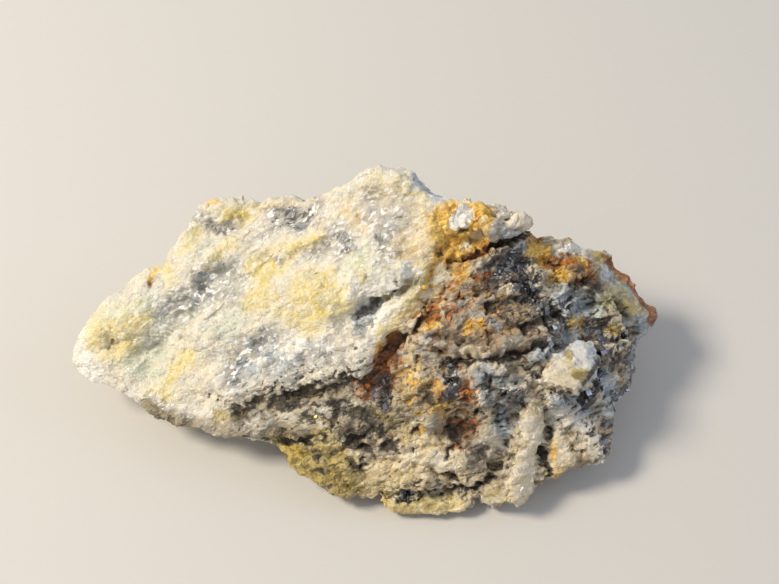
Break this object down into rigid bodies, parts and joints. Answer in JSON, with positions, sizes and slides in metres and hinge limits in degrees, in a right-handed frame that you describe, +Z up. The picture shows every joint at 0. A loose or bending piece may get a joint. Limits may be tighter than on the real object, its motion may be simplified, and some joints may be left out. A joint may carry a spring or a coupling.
{
  "type": "galena specimen",
  "caption": "Hand specimen of galena ore: a broken wedge of pale calcite and quartz rock with grey galena crystals and a rusty iron-stained side, standing on a flat of its underside.",
  "frame": {"origin": "on the floor, under the middle of the lump's outer box", "axes": "+X along the lump towards its rusty end, +Y towards its steep back, +Z up"},
  "size_m": [0.0898, 0.0444, 0.0326],
  "materials": {
    "ore": "rough broken rock, cream with rust, and glinting lead-grey galena"
  },
  "bodies": {
    "root": {"galena_specimen": "ore"}
  },
  "joints": []
}
